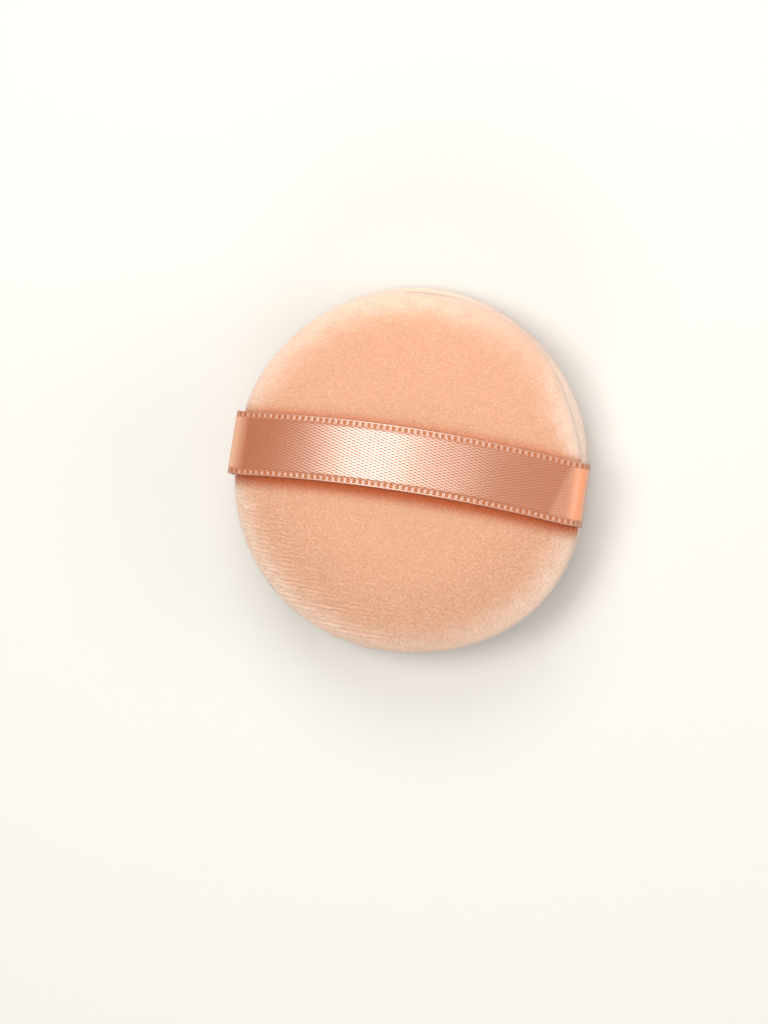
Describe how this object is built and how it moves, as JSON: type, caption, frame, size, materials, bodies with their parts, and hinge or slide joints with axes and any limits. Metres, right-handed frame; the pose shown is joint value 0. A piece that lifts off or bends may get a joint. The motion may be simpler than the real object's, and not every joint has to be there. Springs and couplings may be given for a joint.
{
  "type": "powder puff",
  "caption": "Round velour powder puff with a sponge core, a stitched rim seam and a satin ribbon finger band across its crown.",
  "frame": {"origin": "centre of the flat of the powder face, on which the puff rests", "axes": "+Z through the crown on the ribbon side, +X along the ribbon, +Y the side that the ribbon leans to"},
  "size_m": [0.058, 0.0576, 0.0244],
  "materials": {
    "velour": "matte",
    "sponge": "matte",
    "satin_ribbon": "satin",
    "thread": "satin"
  },
  "bodies": {
    "puff": {"ribbon_side_cover": "velour", "powder_side_cover": "velour", "foam_core": "sponge", "ribbon_tail_left": "satin_ribbon", "ribbon_tail_right": "satin_ribbon", "rim_seam_thread": "thread", "closing_thread": "thread"},
    "ribbon": {"ribbon_band": "satin_ribbon"}
  },
  "joints": [
    {"name": "ribbon_swing", "type": "hinge", "parent": "puff", "child": "ribbon", "pos_m": [0, 0, 0.0105], "axis": [-1, 0, 0], "range_deg": [-20, 3]}
  ]
}
